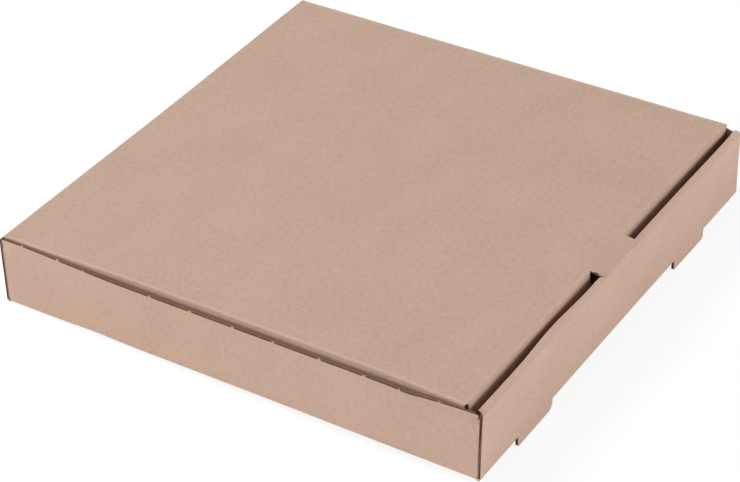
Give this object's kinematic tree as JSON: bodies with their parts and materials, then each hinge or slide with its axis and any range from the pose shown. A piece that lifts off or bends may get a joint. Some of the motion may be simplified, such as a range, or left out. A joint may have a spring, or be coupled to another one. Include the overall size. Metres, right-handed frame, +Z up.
{
  "type": "pizza box",
  "caption": "Square folded box of fluted kraft card with a hinged lid, tucked flaps, a lift tab and a rolled front wall on two feet; holds a flat round of food.",
  "frame": {"origin": "middle of the closed box's footprint, with the lift tab counted in, at the level of the bottom of the feet", "axes": "+Z up, the front wall with the lift tab and the feet faces -Y, the lid's crease runs along X at the back"},
  "size_m": [0.305, 0.3056, 0.0495],
  "materials": {
    "kraft_board": "matte natural kraft liner on fine-fluted board"
  },
  "bodies": {
    "tray": {"tray": "kraft_board"},
    "lid": {"lid": "kraft_board"}
  },
  "joints": [
    {"name": "lid_crease", "type": "hinge", "parent": "tray", "child": "lid", "pos_m": [0, 0.15195, 0.0487], "axis": [-1, 0, 0], "range_deg": [0, 180]}
  ]
}
